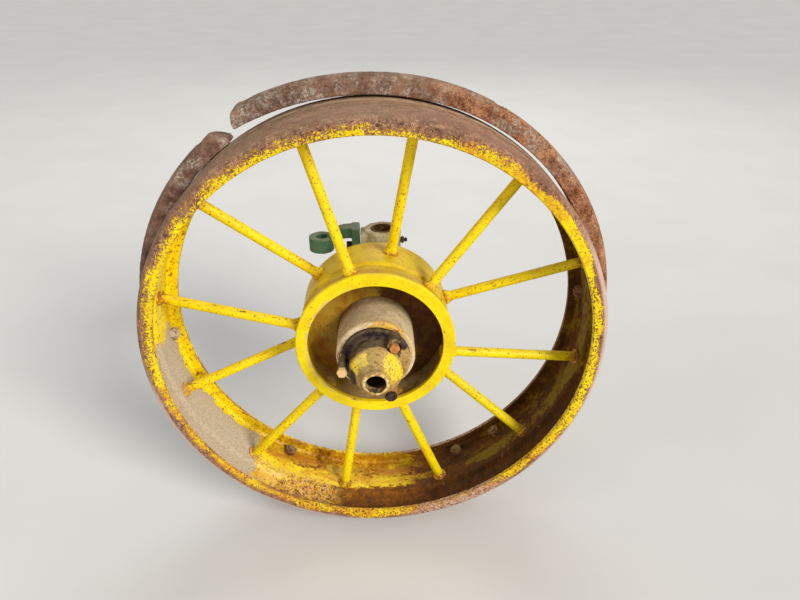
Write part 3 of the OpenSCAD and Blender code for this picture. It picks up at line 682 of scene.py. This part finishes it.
def rim_outside(f, side):
    """The lips' faces and the tread: yellow flakes inside, bare brown rust outside."""
    path = f.plus(f.minus(f.radius, LIP_RADIUS), side)
    flake, halo = lip_flakes(f, path)
    bare = bare_tread(f, path)
    # The strip beside the guide band is paler, in cream flecks
    pale_strip = f.times(f.step(f.depth, *PALE_STRIP_STARTS), f.step(f.depth, *PALE_STRIP_ENDS))
    bare = f.speckle(bare, CREAM, pale_strip, size=22.0, cover=0.6, edge=0.12, twist=0.6, share=0.5)
    bare = f.tint(bare, ORANGE_RUST, halo, f.step(path, *LIP_HALOED), share=0.6)
    chalky = f.near(LIP_CHALKY)
    bare = f.speckle(bare, LIP_CHALK, chalky, size=6.0, cover=0.5, edge=0.05, twist=1.0, share=0.8)
    bare = f.speckle(bare, CHALK_PIT, chalky, size=4.0, cover=0.36, edge=0.04, twist=1.2, share=0.8)
    # Pale flecks on the outer rounding: a painted highlight on the right, and pale dust with painted light
    # at the lower left
    pale_edge_highlight = f.times(f.most(f.near(LIP_LOWER_LEFT), f.near(LIP_HIGHLIGHT_RIGHT, share=0.75)),
                        f.step(path, *PALE_STARTS), f.step(path, *PALE_ENDS))
    bare = f.speckle(bare, EDGE_HIGHLIGHT_PALE, pale_edge_highlight, size=6.0, cover=0.84, edge=0.1, twist=0.8, share=0.9)
    flawed = f.most(f.near(LIP_BOTTOM), f.near(LIP_SPECKLED))
    stained = f.most(f.near(LIP_BOTTOM), f.near(LIP_STAINED), f.near(LIP_LOWER_LEFT))
    paint = f.paint(Fade=0.5, Chips=f.plus(0.18, f.times(flawed, 0.09)),
                    Specks=f.plus(0.28, f.times(flawed, 0.12)), Stain=f.plus(0.26, f.times(stained, 0.3)))
    return f.blend(bare, paint, flake)


def channel_paint(f, bottom, right, rib):
    """Yellow paint in the channel, washed orange at the bottom, and on the right a darker olive that is
    partly painted shade.
    """
    paint = f.paint(Fade=f.plus(0.4, f.times(bottom, 0.4)), Chips=0.26, Specks=0.31,
                    Stain=f.plus(0.08, f.times(bottom, 0.34)))
    wash = f.step(f.noise(f.hooped(), size=22.0, detail=4.0), off=0.44, on=0.62)
    washed = f.times(f.plus(0.05, f.times(bottom, 0.67)), f.ease(rib, 0.0, 1.0, 1.0, 0.6))
    paint = f.tint(paint, BURNT_ORANGE, wash, washed)
    rear_strip = f.step(f.depth, *REAR_STRIP)
    paint = f.speckle(paint, REAR_STAIN, bottom, rear_strip, size=24.0, cover=0.62, edge=0.12, twist=0.8,
                      share=0.6)
    # Darker olive on the right: partly painted shade, partly old paint
    olive = (f.tint(paint, YELLOW_SHADE, share=0.72)[0], OLIVE_ROUGHNESS, paint[2])
    return f.blend(paint, olive, right, share=0.95)


def channel_rust(f, layers, bottom, right, rib):
    """Ragged burnt rust over the channel's paint, thickest on the right and along the near strip, with
    painted shade over the right side.
    """
    near_strip = f.step(f.depth, *NEAR_STRIP)
    rust = f.rust(CHANNEL_RUST, CHANNEL_DARK, BURNT_ORANGE, Lump=16.0, Pitted=0.34, Scaled=0.1)
    rust = f.speckle(rust, CHANNEL_STAIN, near_strip, size=17.0, cover=0.46, edge=0.12, twist=1.2,
                     share=0.62)
    burnt = f.times(near_strip, f.near(CHANNEL_BURNT, share=0.68))
    cover = f.minus(f.plus(0.14, f.times(bottom, 0.2), f.times(right, 0.42), burnt), f.times(rib, 0.14))
    ragged = f.times(f.minus(f.noise(f.vector, size=7.0, detail=4.0, roughness=0.7), 0.5), 1.1)
    mask, halo = f.group(FLECKS, "Mask", "Halo", Vector=f.scaled(f.vector, 0.55, 1.0, 0.55), Size=30.0,
                         Cover=f.plus(cover, ragged), Edge=0.09, Twist=0.7)
    fine = f.ease(f.noise(f.vector, size=4.0, detail=4.0, roughness=0.7), 0.4, 0.6, 0.25, 0.85)
    layers = f.tint(layers, BURNT_ORANGE, halo, fine)
    layers = f.blend(layers, rust, mask, share=0.94)
    # Painted shade over the right side of the channel
    return f.tint(layers, CHANNEL_PAINTED_SHADE, right, share=0.62)


def dried_mud(f, layers):
    """Dried mud on the lower left, whose rear edge wanders along the rear strip."""
    wander = f.ease(f.noise(f.vector, size=40.0), 0.3, 0.7, -SHORE_WANDER, SHORE_WANDER)
    muddy = f.times(f.near(CHANNEL_MUDDY), f.step(f.plus(f.depth, wander), *MUD_SHORE))
    cover = f.minus(f.times(muddy, 1.3), 0.18)
    grain = f.noise(f.vector, size=3.0, detail=4.0)
    color = f.mix(f.step(grain, off=0.3, on=0.6), screen(MUD_DARK), screen(MUD))
    color = f.mix(f.flecks(size=5.0, cover=0.2, edge=0.04), color, screen(MUD_PALE))
    patches = f.flecks(size=16.0, cover=cover, edge=0.07, twist=0.9)
    return f.blend(layers, (color, MUD_ROUGHNESS, grain), patches)


def rim_inside(f):
    """The channel: yellow on the left, burnt rust below and right, dried mud on the lower left, and painted
    shade on the right and along the near lip at the bottom.
    """
    bottom, right = f.near(CHANNEL_BOTTOM), f.near(CHANNEL_SHADED_RIGHT)
    from_middle = f.math("ABSOLUTE", f.minus(f.depth, RIM_WIDTH / 2))
    rib = f.step(from_middle, *RIB_FLANK)
    layers = channel_paint(f, bottom, right, rib)
    layers = channel_rust(f, layers, bottom, right, rib)
    mottled = f.times(f.near(CHANNEL_MOTTLED), f.step(f.depth, *MOTTLED_STRIP))
    layers = f.speckle(layers, MOTTLE_YELLOW, mottled, size=8.0, cover=0.5, edge=0.05, twist=1.4, share=0.8)
    layers = f.speckle(layers, MOTTLE_PINK, mottled, size=5.0, cover=0.44, edge=0.04, twist=1.4, share=0.8)
    layers = f.speckle(layers, MOTTLE_BROWN, mottled, size=3.6, cover=0.36, edge=0.04, twist=1.2, share=0.8)
    # Painted shadow of the near lip, darkening the channel beside it at the bottom
    layers = f.tint(layers, DARK_RUST, f.step(f.depth, *NEAR_LIP_SHADOW), f.near(CHANNEL_LIP_SHADOW), share=0.6)
    return dried_mud(f, layers)


def finish_rim():
    f = Finish("rim_paint")
    side = rim_side(f)
    outside = f.most(f.step(f.radius, *RIM_OUTER_SKIN), f.step(side, *RIM_SIDE_SKIN))
    layers = f.blend(rim_inside(f), rim_outside(f, side), outside)
    return f.done(f.dust(layers, DUST, f.plus(0.03, f.near(TREAD_DUSTY, share=0.25))), bump=0.8)


def finish_band():
    """Bare rusted hoop: purple-brown with grey scale on the left and top, orange on the right."""
    f = Finish("band_rust")
    left = f.near(BAND_LEFT)
    scaled = f.plus(0.26, f.times(left, 0.2), f.near(BAND_CROWN, share=0.4))
    layers = f.rust(BAND_RUST, BAND_DARK, Lump=20.0, Pitted=0.24, Scaled=scaled)
    layers = f.speckle(layers, BAND_MAROON, left, size=26.0, cover=0.36, edge=0.1, twist=0.9, share=0.45)
    orange = f.rust(BAND_ORANGE, BAND_BURNT, BAND_PALE, Lump=20.0, Pitted=0.4, Scaled=0.3)
    orange = f.speckle(orange, BAND_RED, size=4.0, cover=0.36, edge=0.05, twist=0.8, share=0.7)
    patches = f.flecks(size=45.0, cover=0.62, edge=0.1, twist=0.6)
    layers = f.blend(layers, orange, f.near(BAND_RIGHT), patches)
    streak = f.noise(f.hooped(), size=6.0, detail=4.0)
    layers = f.tint(layers, BAND_DARK, f.step(streak, off=0.46, on=0.34), share=0.35)
    layers = f.speckle(layers, BAND_DARK, size=3.0, cover=0.36, edge=0.05, twist=0.6, share=0.5)
    return f.done(f.dust(layers, DUST, 0.12), bump=1.1)


def finish_spoke():
    """Yellow spokes with dark chips drawn out along them, rusty at their feet and at the drum."""
    f = Finish("spoke_paint")
    ends = f.most(f.step(f.radius, *SPOKE_RIM_END), f.step(f.radius, *SPOKE_DRUM_END))
    layers = f.paint(Fade=0.35, Chips=0.13, Specks=0.28, Stain=f.plus(0.08, f.times(ends, 0.48)))
    upper_side = f.step(f.height_of(f.normal), off=0.3, on=0.85)
    worn = f.plus(f.times(ends, 0.08), f.times(upper_side, 0.16))
    long_chips = f.flecks(size=5.0, cover=f.plus(0.17, worn), edge=0.03, twist=0.4, vector=f.rayed())
    layers = f.tint(layers, SPOKE_CHIP, long_chips, share=0.85)
    at_drum = f.times(f.step(f.radius, *SPOKE_COLLAR), 0.7)
    foot = f.most(f.step(f.radius, *SPOKE_FOOT), at_drum)
    rusty = f.rust(FOOT_RUST, FOOT_DARK, DUST, Lump=9.0, Pitted=0.3, Scaled=0.2)
    rusty = f.tint(rusty, FOOT_MUD, f.near(SPOKES_MUDDY), share=0.55)
    layers = f.blend(layers, rusty, foot, f.flecks(size=8.0, cover=0.56, edge=0.08, twist=0.6))
    riveted_end = f.step(f.radius, *SPOKE_OUTER_END)
    layers = f.blend(layers, f.rust(TREAD_RUST, TREAD_DARK, Lump=22.0), riveted_end)
    return f.done(f.dust(layers, DUST, 0.14), bump=0.4)


def drum_hollow_shaded(f):
    """Aged olive paint on the left, going over to dark rust with olive patches on the right; both are partly
    painted shade in the drum's hollow.
    """
    worn = f.paint(DRUM_SHADED_OLIVE, BURNT_BROWN, Fade=0.9, Chips=0.2, Specks=0.26, Stain=0.2)
    dark = f.rust(BURNT_BROWN, DARK_RUST, YELLOW_SHADE, Lump=30.0, Pitted=0.25, Scaled=0.1)
    # Darker on the right inside: rust and painted shade
    dark = f.tint(dark, DARK_RUST, share=0.4)
    dark = f.speckle(dark, OLIVE_PATCH, size=20.0, cover=0.34, edge=0.1, twist=1.0, share=0.5)
    rusted = f.plus(0.22, f.near(DRUM_SHADED_RIGHT, share=0.6))
    return f.blend(worn, dark, f.flecks(size=50.0, cover=rusted, edge=0.12))


def finish_drum():
    """Yellow drum, worn at its waist, with an olive to brown inside and dust lying in it; the olive and
    brown inside and a dulling of the outside are partly painted shade.
    """
    f = Finish("drum_paint")
    waist = f.times(f.step(f.depth, *WAIST_STARTS), f.step(f.depth, *WAIST_ENDS), f.near(DRUM_TOP))
    lip = f.times(f.step(f.depth, *RING_FACE), f.step(f.radius, *RING_BORE))
    outer = f.step(f.depth, *DRUM_BODY)
    layers = f.paint(aged=DRUM_AGED, Fade=f.plus(0.4, f.times(outer, 0.5)),
                     Chips=f.plus(0.12, f.times(lip, 0.1)), Specks=f.plus(0.2, f.times(outer, 0.08)),
                     Stain=f.plus(0.16, f.times(waist, 0.4)))
    layers = f.speckle(layers, WAIST_STAIN, waist, size=18.0, cover=0.5, edge=0.12, twist=0.8, share=0.45)
    # The outside is dulled by dirt and by painted shade
    layers = f.tint(layers, DRUM_DULL_SHADED, outer, share=0.5)
    worn_lip = f.flecks(size=16.0, cover=0.5, edge=0.08, twist=0.8)
    layers = f.tint(layers, RING_WORN, lip, f.near(RING_LEFT), worn_lip, share=0.85)
    inside = f.times(f.step(f.radius, *DRUM_WALL), f.step(f.depth, *DRUM_HOLLOW))
    layers = f.blend(layers, drum_hollow_shaded(f), inside)
    return f.done(f.dust(layers, DUST, f.plus(0.05, f.times(inside, 0.9))), bump=0.5)


def finish_barrel():
    """Dusty bearing barrel with a chipped yellow ledge in front, and painted shade at its rear."""
    f = Finish("barrel_cast")
    layers = f.rust(BARREL_PALE, BARREL_DARK, CREAM, Lump=26.0, Pitted=0.12, Scaled=0.2)
    ledge = f.times(f.step(f.depth, *LEDGE_FRONT), f.near(LEDGE_CHIPPED))
    chipped = f.paint(LEDGE_YELLOW, LEDGE_AGED, Fade=0.8, Chips=0.3, Specks=0.3, Stain=0.45)
    cover = f.plus(0.05, f.times(ledge, 0.56))
    layers = f.blend(layers, chipped, f.flecks(size=9.0, cover=cover, edge=0.05, twist=0.9))
    layers = f.tint(layers, CREAM, f.near(BARREL_RIGHT), share=0.6)
    # Painted shade towards the rear, inside the drum's hollow
    layers = f.tint(layers, BARREL_PAINTED_SHADE, f.step(f.depth, *BARREL_REAR), share=0.7)
    return f.done(f.dust(layers, BARREL_DUST, 0.55), bump=0.6)


def finish_knuckle():
    """Knuckle under grey-tan dirt, with traces of green paint."""
    f = Finish("knuckle_cast")
    layers = f.rust(POST_PALE, POST_DARK, CREAM, Lump=20.0, Pitted=0.14, Scaled=0.26)
    green = f.paint(OLD_GREEN, POST_GREEN, Fade=0.8, Chips=0.2, Specks=0.2, Stain=0.1)
    layers = f.blend(layers, green, f.flecks(size=26.0, cover=0.2, edge=0.1, twist=0.8))
    return f.done(f.dust(layers, DUST, 0.5), bump=1.0)


def finish_arm():
    """Green lever, chipped to brown and dusty on top."""
    f = Finish("arm_paint")
    layers = f.paint(OLD_GREEN, ARM_AGED, Fade=0.9, Chips=0.2, Specks=0.26, Stain=0.06)
    return f.done(f.dust(layers, ARM_DUST, 0.55), bump=0.7)


def cap_snout(f, layers):
    """A bright worn mouth on the snout, and painted shade in the crease where it leaves the dome."""
    on_snout = f.step(f.radius, *SNOUT_FOOT)
    # Painted shade in the crease at the snout's foot
    crease = f.times(on_snout, f.step(f.radius, *CREASE_RADIUS), f.step(f.depth, *CREASE_STARTS),
                     f.step(f.depth, *CREASE_ENDS))
    layers = f.tint(layers, SNOUT_CREASE_SHADE, crease, share=0.55)
    mouth = f.times(f.step(f.radius, *MOUTH_OUTER), f.step(f.depth, *MOUTH_FACE),
                    f.step(f.radius, *MOUTH_INNER))
    layers = f.tint(layers, MOUTH_BROWN, mouth)
    layers = f.speckle(layers, MOUTH_BRIGHT, mouth, size=9.0, cover=0.52, edge=0.05, twist=0.6)
    return f.speckle(layers, MOUTH_CHIP, mouth, size=7.0, cover=0.3, edge=0.04, twist=0.9, share=0.85)


def cap_grease(f, layers):
    """Grease in a strip behind the dome, round one lug, low on the dome and in the snout's hole; low on the
    dome it is partly painted shadow.
    """
    strip = f.times(f.near(CAP_UPPER_LEFT), f.step(f.depth, *CAP_REAR), 0.92)
    hole = f.times(f.step(f.radius, *SNOUT_HOLE), 0.75)
    lug = f.times(f.near(CAP_LUG), f.step(f.radius, *LUG_RADIUS), 0.72)
    # Low on the dome's left the dark grease is partly painted shadow
    low_dome_grease_and_shadow = f.times(f.near(CAP_SHADED_LOWER_LEFT), f.step(f.depth, *DOME_FRONT),
                       f.step(f.radius, *DOME_RADIUS), 0.62)
    greasy = f.flecks(size=20.0, cover=f.most(strip, hole, lug, low_dome_grease_and_shadow), edge=0.08, twist=1.2)
    dried = f.step(f.noise(f.vector, size=7.0), off=0.35, on=0.65)
    color = f.mix(dried, screen(GREASE), screen(GREASE_DRY))
    return f.blend(layers, (color, GREASE_ROUGHNESS, f.noise(f.vector, size=5.0)), greasy)


def finish_cap():
    """Dusty cap with worn yellow, orange rust at the lower right, and a greasy strip behind its dome."""
    f = Finish("cap_cast")
    layers = f.rust(CAP_TAN, CAP_BROWN, CREAM, Lump=14.0, Pitted=0.26, Scaled=0.24)
    yellow = f.paint(CAP_YELLOW, CAP_AGED, Fade=0.8, Chips=0.24, Specks=0.3, Stain=0.2)
    patch_left = f.times(f.near(CAP_LEFT), f.step(f.depth, *PATCH_DEPTH))
    patch_right = f.times(f.near(CAP_RIGHT), f.step(f.radius, *PATCH_RADIUS))
    on_dome = f.step(f.depth, *DOME_DEPTH)
    cover = f.plus(0.08, f.times(f.most(patch_left, patch_right), on_dome, 0.6))
    layers = f.blend(layers, yellow, f.flecks(size=12.0, cover=cover, edge=0.05, twist=1.1))
    orange = f.rust(CAP_RUST, ORANGE_RUST, CREAM, Lump=9.0, Pitted=0.25, Scaled=0.25)
    rusty = f.times(f.near(CAP_LOWER_RIGHT), f.step(f.depth, *RUSTY_DEPTH), 0.5)
    layers = f.blend(layers, orange, f.flecks(size=12.0, cover=rusty, edge=0.1, twist=0.8))
    layers = cap_grease(f, cap_snout(f, layers))
    return f.done(f.dust(layers, DUST, 0.3), bump=0.9)


def finish_bolts():
    """Rusty bolts: orange and cream on the cap, brown on the bands."""
    f = Finish("bolt_rust")
    on_cap = f.rust(BOLT_ORANGE, BOLT_BROWN, CREAM, Lump=7.0, Pitted=0.24, Scaled=0.2)
    on_cap = f.speckle(on_cap, BOLT_CREAM, f.near(BOLT_LEFT), size=9.0, cover=0.6, edge=0.08)
    on_band = f.rust(BAND_BOLT, BAND_BOLT_DARK, DUST, Lump=9.0, Pitted=0.28, Scaled=0.26)
    on_band = f.speckle(on_band, MUD, f.near(BOLT_MUDDY), size=8.0, cover=0.6, edge=0.08)
    layers = f.blend(on_cap, on_band, f.step(f.radius, *BAND_BOLTS))
    return f.done(f.dust(layers, DUST, 0.3), bump=0.6)


def finish_metal(name, light, dark, lump, pitted, scaled, dusty, metallic, bump):
    """Rusted, greasy or bare fastener and shaft steel."""
    f = Finish(name)
    layers = f.rust(light, dark, Lump=lump, Pitted=pitted, Scaled=scaled)
    return f.done(f.dust(layers, DUST, dusty), bump, metallic)


metals = {
    "bolt_dark": dict(light=BLACK_BOLT, dark=GREASE, lump=6.0, pitted=0.2, scaled=0.1, dusty=0.1,
                      metallic=0.2, bump=0.5),
    "gasket": dict(light=GASKET_BLACK, dark=GREASE, lump=9.0, pitted=0.2, scaled=0.0, dusty=0.0,
                   metallic=0.0, bump=0.3),
    "bush_bronze": dict(light=BRONZE, dark=BRONZE_DARK, lump=9.0, pitted=0.1, scaled=0.0, dusty=0.1,
                        metallic=0.7, bump=0.2),
    "shield_steel": dict(light=SHIELD_BROWN, dark=DARK_RUST, lump=14.0, pitted=0.25, scaled=0.2, dusty=0.4,
                         metallic=0.2, bump=0.6),
    "bright_steel": dict(light=BARE_STEEL, dark=STEEL_DARK, lump=9.0, pitted=0.15, scaled=0.1, dusty=0.1,
                         metallic=0.7, bump=0.3),
}
materials = {
    "rim_paint": finish_rim(),
    "band_rust": finish_band(),
    "spoke_paint": finish_spoke(),
    "drum_paint": finish_drum(),
    "cap_cast": finish_cap(),
    "barrel_cast": finish_barrel(),
    "knuckle_cast": finish_knuckle(),
    "arm_paint": finish_arm(),
    "bolt_rust": finish_bolts(),
}
for metal, look in metals.items():
    materials[metal] = finish_metal(metal, **look)

for part in frame["record"]["subparts"]:
    node = nodes[part["node"]]
    node.data.materials.clear()
    node.data.materials.append(materials[part["material_slot"]])


def solid_copy(name, node):
    """A copy of a CAD node's mesh with its loose triangles merged, as a new object."""
    mesh = nodes[node].data.copy()
    mesh.name = name
    bm = bmesh.new()
    bm.from_mesh(mesh)
    bmesh.ops.remove_doubles(bm, verts=bm.verts, dist=WELD)
    bm.to_mesh(mesh)
    bm.free()
    piece = bpy.data.objects.new(name, mesh)
    bpy.context.scene.collection.objects.link(piece)
    return piece


def remeshed(piece, voxel):
    """The piece's mesh made of even small faces, voxel millimetres across."""
    remesh = piece.modifiers.new("skin", "REMESH")
    remesh.mode, remesh.voxel_size = "VOXEL", voxel * MM
    depsgraph = bpy.context.evaluated_depsgraph_get()
    skin = bpy.data.meshes.new_from_object(piece.evaluated_get(depsgraph))
    piece.modifiers.clear()
    return skin


def roughened(skin, rounds, depth, lump):
    """Softens the edges, then sinks the skin by about depth millimetres in lumps of the given size."""
    bm = bmesh.new()
    bm.from_mesh(skin)
    for _ in range(rounds):
        bmesh.ops.smooth_vert(bm, verts=bm.verts, factor=0.5, use_axis_x=True, use_axis_y=True,
                              use_axis_z=True)
    bm.normal_update()
    for v in bm.verts:
        rough = noise.fractal(v.co / (lump * MM), LUMP_FALLOFF, LUMP_SPACING, LUMP_LAYERS)
        v.co += v.normal * (rough - 1.0) * depth * MM
    for face in bm.faces:
        face.smooth = True
    bm.to_mesh(skin)
    bm.free()


def casting(name, node, body, slot, voxel, rounds, depth, lump):
    """A cast or forged piece over a CAD node: the same solid with softened edges and a rough skin."""
    piece = solid_copy(name, node)
    skin = remeshed(piece, voxel)
    roughened(skin, rounds, depth, lump)
    piece.data = skin
    skin.name = name
    skin.materials.clear()
    skin.materials.append(materials[slot])
    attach(piece, body)
    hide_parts(node)
    return piece


casting("cap_casting", "hub_cap", "wheel", "cap_cast", voxel=0.9, rounds=3, depth=0.35, lump=9)
casting("barrel_casting", "hub_barrel", "wheel", "barrel_cast", voxel=1.6, rounds=2, depth=0.4, lump=12)
casting("knuckle_forging", "knuckle", "knuckle", "knuckle_cast", voxel=1.8, rounds=4, depth=0.6, lump=14)
casting("arm_forging", "steering_arm", "knuckle", "arm_paint", voxel=1.4, rounds=4, depth=0.4, lump=10)
casting("band_upper_hoop", "guide_band_upper", "wheel", "band_rust", voxel=2.0, rounds=1, depth=0.3, lump=8)
casting("band_lower_hoop", "guide_band_lower", "wheel", "band_rust", voxel=2.0, rounds=1, depth=0.3, lump=8)


def add_floor():
    """A plain pale floor under the wheel."""
    bm = bmesh.new()
    bmesh.ops.create_grid(bm, x_segments=1, y_segments=1, size=FLOOR_HALF)
    bmesh.ops.translate(bm, verts=bm.verts, vec=(0, 0, cad_box[0].z - FLOOR_DROP))
    mesh = bpy.data.meshes.new("floor")
    bm.to_mesh(mesh)
    bm.free()
    floor = bpy.data.objects.new("floor", mesh)
    bpy.context.scene.collection.objects.link(floor)
    f = Finish("floor_pale")
    cloud = f.noise(f.vector, size=400.0)
    color = f.mix(f.times(f.step(cloud, off=0.3, on=0.7), 0.2), screen(FLOOR_PALE), screen(FLOOR_CLOUD))
    f.done((color, FLOOR_ROUGHNESS, cloud), bump=0.1)
    mesh.materials.append(f.material)


def add_camera():
    lens = bpy.data.cameras.new("photo_view")
    lens.lens, lens.sensor_width, lens.clip_start = CAMERA_LENS, CAMERA_SENSOR, CAMERA_NEAR
    camera = bpy.data.objects.new("photo_view", lens)
    camera.location, camera.rotation_euler = CAMERA_PLACE, CAMERA_TURN
    bpy.context.scene.collection.objects.link(camera)
    bpy.context.scene.camera = camera


def add_key():
    """A broad soft sun from in front, above and to the right."""
    sun = bpy.data.lights.new("key", "SUN")
    sun.energy, sun.angle, sun.color = KEY_POWER, KEY_ANGLE, KEY_TINT
    key = bpy.data.objects.new("key", sun)
    key.rotation_euler = Vector(KEY_FROM).to_track_quat("Z", "Y").to_euler()
    bpy.context.scene.collection.objects.link(key)


def add_lamp(name, place, target, power, tint=(1, 1, 1)):
    """A round area lamp at a place in metres, turned to its target."""
    lamp = bpy.data.lights.new(name, "AREA")
    lamp.shape, lamp.size, lamp.energy, lamp.color = "DISK", LAMP_SIZE, power, tint
    holder = bpy.data.objects.new(name, lamp)
    holder.location = place
    holder.rotation_euler = (Vector(target) - Vector(place)).to_track_quat("-Z", "Y").to_euler()
    bpy.context.scene.collection.objects.link(holder)


def add_sky():
    world = bpy.data.worlds.new("studio")
    world.use_nodes = True
    sky = world.node_tree.nodes["Background"]
    sky.inputs["Color"].default_value = SKY_TINT
    sky.inputs["Strength"].default_value = SKY_POWER
    bpy.context.scene.world = world


add_floor()
add_camera()
add_key()
add_lamp("fill", place=(-3.0, -2.2, 1.6), target=(0, -0.1, 0), power=26, tint=FILL_TINT)
add_lamp("back", place=(0.6, 3.0, 2.8), target=(0, 0, 0), power=40)
add_sky()
bpy.context.scene.view_settings.view_transform = "Standard"
